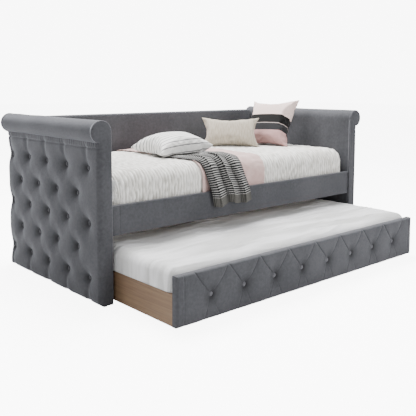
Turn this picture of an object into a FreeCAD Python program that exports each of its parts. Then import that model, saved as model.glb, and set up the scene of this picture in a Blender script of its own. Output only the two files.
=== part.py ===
import FreeCAD, Part
import math
import os

# A daybed with rolled arms, buttoned velvet sides and a trundle that rolls out from underneath.
# Millimetres, +Z up, +X to the right seen from the front, +Y from the front to the back.
# It is drawn with y = 0 at the front of the arms, and each piece is moved at the end so that the
# origin is the middle of the floor area that the bed covers with its trundle half out.

# ---- driving dimensions ----
MATTRESS_LENGTH, MATTRESS_WIDTH, MATTRESS_THICK = 1900, 900, 185
INNER_LENGTH = 1930                 # between the two arms
ARM_THICK, ARM_DEPTH, ARM_HEIGHT = 72, 1025, 920
ROLL_RADIUS = 56
BACK_THICK, BACK_TOP, BACK_BOTTOM = 60, 897, 60
RAIL_SETBACK, RAIL_THICK = 14, 30
RAIL_LOW, RAIL_HIGH = 346, 496
TRUNDLE_OUT = 486                   # how far the trundle stands out, front to arm front
TRUNDLE_LENGTH, TRUNDLE_DEPTH = 1906, 906
TRUNDLE_LOW, TRUNDLE_HIGH = 22, 170
TRUNDLE_FRONT_LENGTH, TRUNDLE_FRONT_HIGH, TRUNDLE_FRONT_THICK = 1910, 256, 34

# ---- thicknesses of boards and coverings ----
GLIDE = 5
FACING = 16
INNER_PAD, ARM_CORE = 10, 30
OUTER_PAD = ARM_THICK - INNER_PAD - ARM_CORE
PANEL_TOP = 840                     # the arm's boards end here, inside the roll
POST_WIDTH = 100
BOARD = 18
LEDGER = 30
SLAT_WIDTH, SLAT_THICK = 70, 18
MATTRESS_LOW = 452
SIDE = INNER_LENGTH / 2             # x of an arm's inner face
INNER_BACK = ARM_DEPTH - BACK_THICK

# ---- buttons ----
BUTTON_RADIUS, BUTTON_THICK = 11, 7
DIMPLE_RADIUS, DIMPLE_DEPTH = 26, 16
ARM_BUTTON_TOP, ARM_BUTTON_PITCH_Z = 680, 138.5
ARM_BUTTON_FIRST, ARM_BUTTON_PITCH_Y = 125, 213.5
FRONT_BUTTON_PITCH, FRONT_BUTTON_Z = 214, 136
FRONT_DIMPLE_DEPTH = 11

# ---- casters ----
WHEEL_RADIUS, WHEEL_WIDTH = 25, 18
AXLE_RADIUS, RUNNING_GAP = 4, 0.05
FORK_GAUGE, FORK_TOP = 2.5, 58
CASTER_X = TRUNDLE_LENGTH / 2 - BOARD - 42
CASTER_INSET_Y = 90

Y_SHIFT = -(ARM_DEPTH - TRUNDLE_OUT) / 2
V = FreeCAD.Vector
X_AXIS, Y_AXIS, Z_AXIS = V(1, 0, 0), V(0, 1, 0), V(0, 0, 1)
os.makedirs("parts", exist_ok=True)


def box(x0, x1, y0, y1, z0, z1):
    """A block between two corners."""
    return Part.makeBox(x1 - x0, y1 - y0, z1 - z0, V(x0, y0, z0))


def rod(radius, length, base, direction):
    return Part.makeCylinder(radius, length, V(*base), direction)


def save(name, *solids):
    """Move a piece to the shared origin and write it."""
    shape = solids[0] if len(solids) == 1 else Part.makeCompound(list(solids))
    shape = shape.copy()
    shape.translate(V(0, Y_SHIFT, 0))
    for solid in shape.Solids:
        assert solid.isValid() and solid.Volume > 0, name
    shape.exportStep("parts/" + name + ".step")


def screw(head_radius, shank_radius, length, base, direction):
    """A screw with a flat round head; base is the top of the head, direction runs into the wood."""
    head = rod(head_radius, 3, base, direction)
    shank = Part.makeCylinder(shank_radius, length, V(*base), direction)
    return head.fuse(shank).removeSplitter()


# ---- arms: posts and panel in the middle, pads on both sides, a roll along the top ----
def arm_button_places():
    """Five rows of five, four, five, four and five buttons, in a diamond pattern."""
    places = []
    for row in range(5):
        count = 5 - row % 2
        start = ARM_BUTTON_FIRST + (row % 2) * ARM_BUTTON_PITCH_Y / 2
        for k in range(count):
            places.append((start + k * ARM_BUTTON_PITCH_Y, ARM_BUTTON_TOP - row * ARM_BUTTON_PITCH_Z))
    return places


def roll_section(s):
    """The outline of the roll: a round bolster that sits over the top of the arm's boards."""
    centre_x, centre_z = SIDE + ROLL_RADIUS, ARM_HEIGHT - ROLL_RADIUS
    outer = SIDE + ARM_THICK
    drop = math.sqrt(ROLL_RADIUS ** 2 - (outer - centre_x) ** 2)
    points = [V(s * SIDE, 0, PANEL_TOP), V(s * SIDE, 0, centre_z)]
    middle = V(s * (centre_x + ROLL_RADIUS * 0.6), 0, centre_z + ROLL_RADIUS * 0.8)
    end = V(s * outer, 0, centre_z - drop)
    corner = V(s * outer, 0, PANEL_TOP)
    edges = [Part.makeLine(points[0], points[1]), Part.Arc(points[1], middle, end).toShape(),
             Part.makeLine(end, corner), Part.makeLine(corner, points[0])]
    return Part.Wire(edges)


def prism_y(wire, y0, y1):
    """A wire drawn at y = 0, made into a bar from y0 to y1."""
    face = Part.Face(wire)
    face.translate(V(0, y0, 0))
    return face.extrude(V(0, y1 - y0, 0))


def arm(side, s):
    def slab(u0, u1, y0, y1, z0, z1):
        """A block given by its distance outwards from the arm's inner face."""
        xs = sorted((s * (SIDE + u0), s * (SIDE + u1)))
        return box(xs[0], xs[1], y0, y1, z0, z1)

    rear = ARM_DEPTH - FACING
    core = (INNER_PAD, INNER_PAD + ARM_CORE)
    save("arm_inner_pad_" + side, slab(0, INNER_PAD, FACING, rear, GLIDE, PANEL_TOP))
    save("arm_front_post_" + side, slab(*core, FACING, FACING + POST_WIDTH, GLIDE, PANEL_TOP))
    save("arm_rear_post_" + side, slab(*core, rear - POST_WIDTH, rear, GLIDE, PANEL_TOP))
    save("arm_panel_" + side,
         slab(*core, FACING + POST_WIDTH, rear - POST_WIDTH, GLIDE, PANEL_TOP))
    save("arm_roll_" + side, prism_y(roll_section(s), FACING, rear))

    pad = slab(core[1], ARM_THICK, FACING, rear, GLIDE, PANEL_TOP)
    buttons = []
    surface = s * (SIDE + ARM_THICK)
    floor = s * (SIDE + ARM_THICK - DIMPLE_DEPTH)
    for y, z in arm_button_places():
        pad = pad.cut(Part.makeCone(BUTTON_RADIUS, DIMPLE_RADIUS, DIMPLE_DEPTH, V(floor, y, z), X_AXIS * s))
        button = rod(BUTTON_RADIUS - 1, BUTTON_THICK, (floor, y, z), X_AXIS * s)
        outer_edge = [e for e in button.Edges if abs(e.BoundBox.Center.x - floor) > BUTTON_THICK - 1
                      and len(e.Vertexes) == 1]
        buttons.append(button.makeFillet(BUTTON_THICK * 0.55, outer_edge))
    assert abs(pad.BoundBox.XMax - surface) < 0.1 or abs(pad.BoundBox.XMin - surface) < 0.1
    save("arm_outer_pad_" + side, pad)
    save("arm_buttons_" + side, *buttons)

    strip = slab(0, ARM_THICK, 0, FACING, GLIDE, PANEL_TOP)
    facing = strip.fuse(prism_y(roll_section(s), 0, FACING)).removeSplitter()
    save("arm_front_facing_" + side, facing)
    facing.translate(V(0, rear, 0))
    save("arm_rear_facing_" + side, facing)


arm("left", -1)
arm("right", 1)

glides = []
for s in (-1, 1):
    glide_x = s * (SIDE + INNER_PAD + ARM_CORE / 2)
    for glide_y in (60, ARM_DEPTH - 60):
        glides.append(rod(ARM_CORE / 2, GLIDE, (glide_x, glide_y, 0), Z_AXIS))
save("floor_glides", *glides)

# ---- back: a board on two rails, padded at the front and over the top, cloth at the rear ----
BACK_PAD, REAR_CLOTH, BACK_RAIL = 14, 2, 80
frame_y0, frame_y1 = INNER_BACK + BACK_PAD, ARM_DEPTH - REAR_CLOTH
frame_top = BACK_TOP - BACK_PAD
board_y1 = frame_y0 + 12
save("back_board", box(-SIDE, SIDE, frame_y0, board_y1, BACK_BOTTOM, frame_top))
save("back_top_rail", box(-SIDE, SIDE, board_y1, frame_y1, frame_top - BACK_RAIL, frame_top))
save("back_bottom_rail", box(-SIDE, SIDE, board_y1, frame_y1, BACK_BOTTOM, BACK_BOTTOM + BACK_RAIL))
save("back_middle_rail", box(-SIDE, SIDE, board_y1, frame_y1, RAIL_LOW, RAIL_LOW + BACK_RAIL * 1.5))
pad = box(-SIDE, SIDE, INNER_BACK, ARM_DEPTH - REAR_CLOTH, BACK_BOTTOM, BACK_TOP)
top_edges = [e for e in pad.Edges if abs(e.BoundBox.ZMin - BACK_TOP) < 0.1 and e.BoundBox.XLength > 100]
pad = pad.makeFillet(BACK_PAD - 2, top_edges)
save("back_pad", pad.cut(box(-SIDE, SIDE, frame_y0, frame_y1 + 1, BACK_BOTTOM - 1, frame_top)))
save("back_rear_cloth", box(-SIDE, SIDE, frame_y1, ARM_DEPTH, BACK_BOTTOM, frame_top))

# ---- front rail, ledgers, slats and their fixings ----
RAIL_WRAP = 5
wrap_y = RAIL_SETBACK + RAIL_WRAP
rail_back = RAIL_SETBACK + RAIL_THICK
save("front_rail_board", box(-SIDE, SIDE, wrap_y, rail_back, RAIL_LOW + RAIL_WRAP, RAIL_HIGH - RAIL_WRAP))
rail_cover = box(-SIDE, SIDE, RAIL_SETBACK, rail_back, RAIL_LOW, RAIL_HIGH)
rail_cover = rail_cover.cut(box(-SIDE, SIDE, wrap_y, rail_back + 1, RAIL_LOW + RAIL_WRAP, RAIL_HIGH - RAIL_WRAP))
save("front_rail_cover", rail_cover)

slat_low = MATTRESS_LOW - SLAT_THICK
ledger_low = slat_low - LEDGER
BRACKET_LEG, BRACKET_GAUGE, BRACKET_LOW, BRACKET_HIGH = 70, 3, 362, 470
ledger_end = SIDE - BRACKET_LEG - 10
save("front_ledger", box(-ledger_end, ledger_end, rail_back, rail_back + LEDGER, ledger_low, slat_low))
save("rear_ledger", box(-ledger_end, ledger_end, INNER_BACK - LEDGER, INNER_BACK, ledger_low, slat_low))

SLATS = 13
slat_y0, slat_y1 = rail_back + 2, INNER_BACK - 2
slats, slat_screws = [], []
for k in range(SLATS):
    x = (k - (SLATS - 1) / 2) * (2 * ledger_end - SLAT_WIDTH - 20) / (SLATS - 1)
    pair = [screw(4, 2, 40, (x, y, MATTRESS_LOW), -Z_AXIS)
            for y in (rail_back + LEDGER / 2, INNER_BACK - LEDGER / 2)]
    slat = box(x - SLAT_WIDTH / 2, x + SLAT_WIDTH / 2, slat_y0, slat_y1, slat_low, MATTRESS_LOW)
    slats.append(slat.cut(pair))
    slat_screws += pair
save("slats", *slats)
save("slat_screws", *slat_screws)

# Four steel angles bolt the rail and the back to the arms.
brackets, bracket_bolts = [], []
for s in (-1, 1):
    for y_face, into in ((rail_back, 1), (INNER_BACK, -1)):
        def bracket_box(u0, u1, v0, v1):
            xs = sorted((s * (SIDE - u0), s * (SIDE - u1)))
            ys = sorted((y_face + into * v0, y_face + into * v1))
            return box(xs[0], xs[1], ys[0], ys[1], BRACKET_LOW, BRACKET_HIGH)

        angle = bracket_box(0, BRACKET_GAUGE, 0, BRACKET_LEG).fuse(bracket_box(0, BRACKET_LEG, 0, BRACKET_GAUGE))
        bolts = []
        for z in (BRACKET_LOW + 25, BRACKET_HIGH - 25):
            arm_bolt = (s * (SIDE - BRACKET_GAUGE - 3), y_face + into * BRACKET_LEG * 0.55, z)
            rail_bolt = (s * (SIDE - BRACKET_LEG * 0.6), y_face + into * (BRACKET_GAUGE + 3), z)
            bolts.append(screw(8, 4, 40, arm_bolt, X_AXIS * s))
            bolts.append(screw(8, 4, 28, rail_bolt, Y_AXIS * -into))
        brackets.append(angle.removeSplitter().cut(bolts))
        bracket_bolts += bolts
save("corner_brackets", *brackets)
save("bracket_bolts", *bracket_bolts)


# ---- soft goods on the bed ----
def rounded(block, radius, pick):
    return block.makeFillet(radius, [e for e in block.Edges if pick(e.BoundBox)])


MATTRESS_GAP = 6
mattress_y0 = rail_back + MATTRESS_GAP
mattress_top = MATTRESS_LOW + MATTRESS_THICK
half_length = MATTRESS_LENGTH / 2
mattress = box(-half_length, half_length, mattress_y0, mattress_y0 + MATTRESS_WIDTH, MATTRESS_LOW, mattress_top)
save("mattress", rounded(mattress, 60, lambda b: b.ZLength > 100))

# The coverlet is a quilted sheet over the mattress, tucked in behind the rail.
COVERLET = 12
cover_y0, cover_y1 = mattress_y0 - 4, mattress_y0 + MATTRESS_WIDTH + 4
cover_top = mattress_top + COVERLET
coverlet = box(-half_length - 8, half_length + 8, cover_y0, cover_y1, RAIL_HIGH - 20, cover_top)
coverlet = rounded(coverlet, 62, lambda b: b.ZLength > 100)
save("coverlet", coverlet.cut(rounded(mattress, 60, lambda b: b.ZLength > 100)))

# The runner is a narrower sheet across the coverlet, and the throw lies over both.
RUNNER, RUNNER_X0, RUNNER_X1 = 4, -350, 150
runner_y0 = cover_y0 - RUNNER
runner = box(RUNNER_X0, RUNNER_X1, runner_y0, cover_y1, RAIL_HIGH + 1, cover_top + RUNNER)
save("bed_runner", runner.cut(box(RUNNER_X0, RUNNER_X1, cover_y0, cover_y1 + 1, RAIL_HIGH, cover_top)))

THROW, THROW_X0, THROW_X1, THROW_LOW, THROW_END = 16, -330, -15, 408, 470
throw_floor = cover_top + RUNNER
throw_face = RAIL_SETBACK - 1
hang = [(throw_face, THROW_LOW), (throw_face, RAIL_HIGH + 1), (runner_y0, RAIL_HIGH + 14), (runner_y0, throw_floor),
        (THROW_END, throw_floor), (THROW_END, throw_floor + THROW), (runner_y0 - 4, throw_floor + THROW),
        (throw_face - THROW, throw_floor - 30), (throw_face - THROW, THROW_LOW), (throw_face, THROW_LOW)]
throw = Part.Face(Part.makePolygon([V(THROW_X0, y, z) for y, z in hang])).extrude(X_AXIS * (THROW_X1 - THROW_X0))
save("throw", throw)


def cushion(name, length, height, thick, centre, turn, lean, roll):
    """A stuffed cushion: five rings, widest at the seam, standing and leaning back.

    It starts lying flat with its length along X and is tipped up by 90 degrees less the lean.
    """
    sections = []
    for share, offset in ((0.62, -0.5), (0.90, -0.30), (1.0, 0), (0.90, 0.30), (0.62, 0.5)):
        u, v, z = length * share / 2, height * share / 2, thick * offset
        corners = [V(-u, -v, z), V(u, -v, z), V(u, v, z), V(-u, v, z), V(-u, -v, z)]
        sections.append(Part.makePolygon(corners))
    body = Part.makeLoft(sections, True, True)
    body.rotate(V(0, 0, 0), Z_AXIS, roll)
    body.rotate(V(0, 0, 0), X_AXIS, 90 - lean)
    body.rotate(V(0, 0, 0), Z_AXIS, -turn)
    body.translate(V(*centre))
    save(name, body)


cushion("striped_pillow", 385, 440, 112, (-230, 462, 728), 10, 90, 0)
cushion("cream_cushion", 412, 243, 96, (445, 630, 768), 44, 31, 0)
cushion("colour_block_cushion", 380, 380, 105, (765, 560, 826), 70, 31, 5)

# ---- trundle ----
front_face = -TRUNDLE_OUT
board_face = front_face + TRUNDLE_FRONT_THICK - 16
front_rear = front_face + TRUNDLE_FRONT_THICK
half_front = TRUNDLE_FRONT_LENGTH / 2
half_trundle = TRUNDLE_LENGTH / 2
trundle_back = front_rear + TRUNDLE_DEPTH - 6
FRONT_WRAP = 6

save("trundle_front_board", box(-half_front + FRONT_WRAP, half_front - FRONT_WRAP, board_face, front_rear,
                                TRUNDLE_LOW + FRONT_WRAP, TRUNDLE_FRONT_HIGH - FRONT_WRAP))
pad = box(-half_front, half_front, front_face, front_rear, TRUNDLE_LOW, TRUNDLE_FRONT_HIGH)
pad = rounded(pad, 8, lambda b: b.XLength > 1000 and abs(b.YMin - front_face) < 0.1)
pad = pad.cut(box(-half_front + FRONT_WRAP, half_front - FRONT_WRAP, board_face, front_rear + 1,
                  TRUNDLE_LOW + FRONT_WRAP, TRUNDLE_FRONT_HIGH - FRONT_WRAP))
front_buttons = []
dimple_floor = front_face + FRONT_DIMPLE_DEPTH
for k in range(8):
    x = (k - 3.5) * FRONT_BUTTON_PITCH
    pad = pad.cut(Part.makeCone(BUTTON_RADIUS, DIMPLE_RADIUS, FRONT_DIMPLE_DEPTH,
                                V(x, dimple_floor, FRONT_BUTTON_Z), -Y_AXIS))
    button = rod(BUTTON_RADIUS - 1, BUTTON_THICK, (x, dimple_floor, FRONT_BUTTON_Z), -Y_AXIS)
    front_edge = [e for e in button.Edges if e.BoundBox.YMax < dimple_floor - BUTTON_THICK + 1]
    front_buttons.append(button.makeFillet(BUTTON_THICK * 0.55, front_edge))
save("trundle_front_pad", pad)
save("trundle_front_buttons", *front_buttons)

end_y1 = trundle_back - BOARD
for side, s in (("left", -1), ("right", 1)):
    xs = sorted((s * half_trundle, s * (half_trundle - BOARD)))
    save("trundle_end_" + side, box(xs[0], xs[1], front_rear, end_y1, TRUNDLE_LOW, TRUNDLE_HIGH))
save("trundle_back_board", box(-half_trundle, half_trundle, end_y1, trundle_back, TRUNDLE_LOW, TRUNDLE_HIGH))

CLEAT = 26
inside = half_trundle - BOARD
trundle_slat_low = TRUNDLE_HIGH - SLAT_THICK
save("trundle_cleat_front", box(-inside, inside, front_rear, front_rear + CLEAT,
                                trundle_slat_low - CLEAT, trundle_slat_low))
save("trundle_cleat_rear", box(-inside, inside, end_y1 - CLEAT, end_y1,
                               trundle_slat_low - CLEAT, trundle_slat_low))
trundle_slats, trundle_screws = [], []
TRUNDLE_SLATS = 13
for k in range(TRUNDLE_SLATS):
    x = (k - (TRUNDLE_SLATS - 1) / 2) * (2 * inside - SLAT_WIDTH - 20) / (TRUNDLE_SLATS - 1)
    pair = [screw(4, 2, 38, (x, y, TRUNDLE_HIGH), -Z_AXIS) for y in (front_rear + CLEAT / 2, end_y1 - CLEAT / 2)]
    slat = box(x - SLAT_WIDTH / 2, x + SLAT_WIDTH / 2, front_rear + 1, end_y1 - 1, trundle_slat_low, TRUNDLE_HIGH)
    trundle_slats.append(slat.cut(pair))
    trundle_screws += pair
save("trundle_slats", *trundle_slats)
save("trundle_slat_screws", *trundle_screws)

trundle_mattress_y0 = front_rear + 4
trundle_mattress = box(-half_trundle + 3, half_trundle - 3, trundle_mattress_y0,
                       trundle_mattress_y0 + TRUNDLE_DEPTH - 16, TRUNDLE_HIGH, TRUNDLE_HIGH + 112)
trundle_mattress = rounded(trundle_mattress, 36, lambda b: b.ZLength < 1 and b.ZMin > TRUNDLE_HIGH + 50)
save("trundle_mattress", trundle_mattress)

# Casters: a fixed fork under each corner block, rolling straight in and out.
blocks, forks, axles = [], [], []
cheek_gap = WHEEL_WIDTH / 2 + 1.5
cheek = cheek_gap + FORK_GAUGE
FORK_HALF_LENGTH, BLOCK_HALF_X, BLOCK_HALF_Y = 26, 42, 60
for side, s in (("left", -1), ("right", 1)):
    for end, y in (("front", front_rear + CASTER_INSET_Y), ("rear", end_y1 - CASTER_INSET_Y)):
        x = s * CASTER_X
        blocks.append(box(x - BLOCK_HALF_X, x + BLOCK_HALF_X, y - BLOCK_HALF_Y, y + BLOCK_HALF_Y,
                          FORK_TOP, trundle_slat_low))
        fork = box(x - cheek, x + cheek, y - FORK_HALF_LENGTH, y + FORK_HALF_LENGTH, 14, FORK_TOP)
        fork = fork.cut(box(x - cheek_gap, x + cheek_gap, y - FORK_HALF_LENGTH - 1, y + FORK_HALF_LENGTH + 1,
                            13, FORK_TOP - FORK_GAUGE))
        plate = box(x - 36, x + 36, y - 32, y + 32, FORK_TOP - FORK_GAUGE, FORK_TOP)
        fork = fork.fuse(plate).removeSplitter()
        axle = rod(AXLE_RADIUS, 2 * cheek, (x - cheek, y, WHEEL_RADIUS), X_AXIS)
        forks.append(fork.cut(axle))
        axles.append(axle)
        wheel = rod(WHEEL_RADIUS, WHEEL_WIDTH, (x - WHEEL_WIDTH / 2, y, WHEEL_RADIUS), X_AXIS)
        wheel = wheel.makeFillet(2.5, [e for e in wheel.Edges if len(e.Vertexes) == 1])
        wheel = wheel.cut(rod(AXLE_RADIUS + RUNNING_GAP, 2 * cheek, (x - cheek, y, WHEEL_RADIUS), X_AXIS))
        save("wheel_" + end + "_" + side, wheel)
save("caster_blocks", *blocks)
save("caster_forks", *forks)
save("caster_axles", *axles)
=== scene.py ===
import math

import bmesh
import bpy
import numpy as np
from mathutils import Matrix, Vector


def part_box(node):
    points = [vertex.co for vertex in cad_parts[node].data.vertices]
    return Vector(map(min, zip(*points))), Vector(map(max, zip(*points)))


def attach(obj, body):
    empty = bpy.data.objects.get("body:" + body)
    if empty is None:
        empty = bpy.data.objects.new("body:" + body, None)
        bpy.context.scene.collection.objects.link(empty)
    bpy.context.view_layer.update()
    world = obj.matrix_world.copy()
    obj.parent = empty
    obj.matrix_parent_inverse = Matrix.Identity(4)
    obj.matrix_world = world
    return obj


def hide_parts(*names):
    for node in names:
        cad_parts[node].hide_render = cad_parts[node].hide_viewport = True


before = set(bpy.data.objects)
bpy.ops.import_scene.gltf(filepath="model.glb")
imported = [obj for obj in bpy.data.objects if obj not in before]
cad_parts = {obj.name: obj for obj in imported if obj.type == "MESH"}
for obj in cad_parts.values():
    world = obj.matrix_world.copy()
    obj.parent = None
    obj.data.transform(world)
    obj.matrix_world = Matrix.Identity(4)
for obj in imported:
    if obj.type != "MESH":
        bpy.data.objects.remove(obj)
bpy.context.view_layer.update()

# ---- studio ----
# The camera stands off the left arm, a little above the top of the bed. The floor and surround
# are near white. One soft lamp stands behind the left arm, a larger one hangs overhead and a
# weak one fills from the front. Floor and surround look brighter to the camera than they light.
CAMERA_PLACE = (-2.615, -2.821, 1.089)
CAMERA_YAW, CAMERA_PITCH, CAMERA_ROLL = 41.57, 5.95, 0.18
camera_data = bpy.data.cameras.new("camera")
camera_data.sensor_width = 36
camera_data.lens = 54.15
camera_data.shift_x, camera_data.shift_y = 0.0024, -0.139
camera = bpy.data.objects.new("camera", camera_data)
bpy.context.scene.collection.objects.link(camera)
turn = Matrix.Rotation(math.radians(-CAMERA_YAW), 4, "Z") @ Matrix.Rotation(math.radians(90 - CAMERA_PITCH), 4, "X")
camera.matrix_world = Matrix.Translation(CAMERA_PLACE) @ turn @ Matrix.Rotation(math.radians(CAMERA_ROLL), 4, "Z")
bpy.context.scene.camera = camera


def nodes_of(tree_owner):
    """An empty node tree with an output, for a material or a world."""
    tree_owner.use_nodes = True
    tree_owner.node_tree.nodes.clear()
    return tree_owner.node_tree


def add(tree, kind, settings=None, **inputs):
    """One node; settings are its own options, inputs are numbers, colours or outputs to link."""
    node = tree.nodes.new(kind)
    for key, value in (settings or {}).items():
        setattr(node, key, value)
    for key, value in inputs.items():
        by_number = key[0] == "i" and key[1:].isdigit()
        socket = node.inputs[int(key[1:]) if by_number else key.replace("_", " ")]
        if isinstance(value, bpy.types.NodeSocket):
            tree.links.new(value, socket)
        else:
            socket.default_value = (*value, 1.0) if socket.type == "RGBA" else value
    return node


WHITE = (1.0, 1.0, 1.0)
SKY_LIGHT, BACKDROP_GLOW, FLOOR_GLOW = 0.68, 8.5, 7.5
world = bpy.data.worlds.new("surround")
bpy.context.scene.world = world
tree = nodes_of(world)
sky = add(tree, "ShaderNodeBackground", Color=WHITE, Strength=SKY_LIGHT)
backdrop = add(tree, "ShaderNodeBackground", Color=WHITE, Strength=BACKDROP_GLOW)
seen = add(tree, "ShaderNodeLightPath").outputs["Is Camera Ray"]
shown = add(tree, "ShaderNodeMixShader", i0=seen, i1=sky.outputs[0], i2=backdrop.outputs[0])
tree.links.new(shown.outputs[0], add(tree, "ShaderNodeOutputWorld").inputs[0])


def lamp(name, place, target, width, power):
    """A square soft lamp that faces its target."""
    data = bpy.data.lights.new(name, "AREA")
    data.shape, data.size, data.energy = "SQUARE", width, power
    obj = bpy.data.objects.new(name, data)
    bpy.context.scene.collection.objects.link(obj)
    aim = (Vector(target) - Vector(place)).to_track_quat("-Z", "Y")
    obj.matrix_world = Matrix.Translation(place) @ aim.to_matrix().to_4x4()


lamp("lamp_left", (-4.2, 2.8, 3.2), (-0.4, 0, 0.5), 1.6, 100)
lamp("lamp_above", (0.2, 1.0, 4.2), (0, -0.1, 0.4), 2.2, 520)
lamp("lamp_front", (1.0, -5.0, 2.2), (0, -0.5, 0.3), 2.4, 140)


def make_piece(name, bm, material, body=None):
    """A finished bmesh as an object that rides on a body."""
    bmesh.ops.recalc_face_normals(bm, faces=bm.faces)
    mesh = bpy.data.meshes.new(name)
    bm.to_mesh(mesh)
    bm.free()
    mesh.shade_smooth()
    mesh.materials.append(material)
    obj = bpy.data.objects.new(name, mesh)
    bpy.context.scene.collection.objects.link(obj)
    if body:
        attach(obj, body)
    return obj


floor_material = bpy.data.materials.new("pale_floor")
tree = nodes_of(floor_material)
speckle = add(tree, "ShaderNodeTexNoise", Vector=add(tree, "ShaderNodeTexCoord").outputs["Object"], Scale=3.0)
tone = add(tree, "ShaderNodeMix", {"data_type": "RGBA"}, i0=speckle.outputs["Fac"],
           i6=(0.80, 0.80, 0.80), i7=(0.84, 0.84, 0.84))
seen = add(tree, "ShaderNodeLightPath").outputs["Is Camera Ray"]
glow = add(tree, "ShaderNodeMath", {"operation": "MULTIPLY"}, i0=seen, i1=FLOOR_GLOW).outputs[0]
shader = add(tree, "ShaderNodeBsdfPrincipled", Base_Color=tone.outputs[2], Roughness=0.9,
             Emission_Color=WHITE, Emission_Strength=glow)
tree.links.new(shader.outputs[0], add(tree, "ShaderNodeOutputMaterial").inputs[0])
bm = bmesh.new()
bmesh.ops.create_grid(bm, x_segments=4, y_segments=4, size=30)
floor = make_piece("floor", bm, floor_material)


# ---- velvet ----
# All upholstery on the frame is one mid-grey velvet. Its short pile catches light at the
# edges, and brushing leaves soft lighter and darker patches and faint upright streaks.
def new_group(name, inputs, outputs):
    group = bpy.data.node_groups.new(name, "ShaderNodeTree")
    for socket_name, kind, default in inputs:
        socket = group.interface.new_socket(socket_name, in_out="INPUT", socket_type=kind)
        if default is not None:
            socket.default_value = default
    for socket_name, kind in outputs:
        group.interface.new_socket(socket_name, in_out="OUTPUT", socket_type=kind)
    return group, group.nodes.new("NodeGroupInput"), group.nodes.new("NodeGroupOutput")


def use_group(tree, group, **inputs):
    return add(tree, "ShaderNodeGroup", {"node_tree": group}, **inputs)


def mix_colour(tree, share, first, second, blend="MIX"):
    settings = {"data_type": "RGBA", "blend_type": blend}
    return add(tree, "ShaderNodeMix", settings, i0=share, i6=first, i7=second).outputs[2]


def maths(tree, operation, first, second=0.0):
    return add(tree, "ShaderNodeMath", {"operation": operation}, i0=first, i1=second).outputs[0]


def plus(tree, first, second):
    return maths(tree, "ADD", first, second)


def times(tree, first, second):
    return maths(tree, "MULTIPLY", first, second)


def wave(tree, value, spacing):
    """A sine that repeats at that spacing."""
    return maths(tree, "SINE", times(tree, value, math.tau / spacing))


def noise_at(tree, vector, scale, detail=2.0, stretch=(1, 1, 1), turn=(0, 0, 0)):
    """Noise between 0 and 1, stretched along the axes and turned."""
    mapping = add(tree, "ShaderNodeMapping", Vector=vector, Scale=stretch, Rotation=turn)
    return add(tree, "ShaderNodeTexNoise", Vector=mapping.outputs[0], Scale=scale, Detail=detail).outputs["Fac"]


def ramp(tree, value, low, high, to_low=0.0, to_high=1.0):
    return add(tree, "ShaderNodeMapRange", {"interpolation_type": "SMOOTHSTEP"}, Value=value, From_Min=low,
               From_Max=high, To_Min=to_low, To_Max=to_high).outputs[0]


def read_painted_shade(tree):
    """How deep the cloth lies at each point, 0 to 1, as the piece's mesh says; the materials paint shade with it."""
    return add(tree, "ShaderNodeAttribute", {"attribute_name": "painted_shade"}).outputs["Fac"]


def two_tone_group(name):
    """A group that spreads a dark and a light tone over a surface, with its place, tones and output."""
    group, given, result = new_group(
        name, [("Vector", "NodeSocketVector", None), ("Dark", "NodeSocketColor", None),
               ("Light", "NodeSocketColor", None)],
        [("Color", "NodeSocketColor"), ("Height", "NodeSocketFloat")])
    return group, given.outputs["Vector"], given.outputs["Dark"], given.outputs["Light"], result.inputs


nap, place, dark, light, nap_result = two_tone_group("brushed_nap")
patches = noise_at(nap, place, 3.2, 3.0)
streaks = noise_at(nap, place, 14.0, 3.0, (1, 1, 0.3))
pile = noise_at(nap, place, 900.0, 1.0)
specks = noise_at(nap, place, 70.0, 4.0)
share = plus(nap, times(nap, patches, 0.5), times(nap, streaks, 0.15))
share = plus(nap, share, times(nap, specks, 0.35))
tone = mix_colour(nap, ramp(nap, share, 0.30, 0.70), dark, light)
# Painted shade: the velvet goes almost black where it lies deep, in the button hollows and folds; pressed pile adds a
# little real darkening there too.
tone = mix_colour(nap, times(nap, read_painted_shade(nap), 0.78), tone, (0.004, 0.004, 0.005))
pile_grey = add(nap, "ShaderNodeCombineColor", i0=pile, i1=pile, i2=pile).outputs[0]
tone = mix_colour(nap, 0.10, tone, pile_grey, "OVERLAY")
nap.links.new(tone, nap_result["Color"])
nap.links.new(plus(nap, pile, times(nap, specks, 0.8)), nap_result["Height"])


def finish_material(material, tree, base_colour, roughness, height=None, strength=0.3, distance=0.001, **constants):
    """Completes a material with one Principled shader. The constants are the same all over."""
    shader = add(tree, "ShaderNodeBsdfPrincipled", Base_Color=base_colour, Roughness=roughness, **constants)
    if height is not None:
        bump = add(tree, "ShaderNodeBump", Height=height, Strength=strength, Distance=distance)
        tree.links.new(bump.outputs[0], shader.inputs["Normal"])
    tree.links.new(shader.outputs[0], add(tree, "ShaderNodeOutputMaterial").inputs[0])
    return material


def start_material(name):
    material = bpy.data.materials.new(name)
    tree = nodes_of(material)
    return material, tree, add(tree, "ShaderNodeTexCoord").outputs


def velvet_material(name, dark, light, sheen):
    material, tree, coords = start_material(name)
    brushed = use_group(tree, nap, Vector=coords["Object"], Dark=dark, Light=light)
    return finish_material(material, tree, brushed.outputs["Color"], 0.75, brushed.outputs["Height"], 0.3,
                           0.0008, Sheen_Weight=sheen, Sheen_Roughness=0.45, Sheen_Tint=(0.78, 0.80, 0.88),
                           Specular_IOR_Level=0.2)


velvet = velvet_material("grey_velvet", (0.038, 0.039, 0.044), (0.070, 0.071, 0.078), 0.36)
# A lighter copy of the same velvet for the piping and the trundle's buttons: painted highlight for their lit edges
# and rims.
velvet_painted_highlight = velvet_material("grey_velvet_painted_highlight", (0.07, 0.07, 0.078), (0.11, 0.11, 0.122), 0.4)


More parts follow.
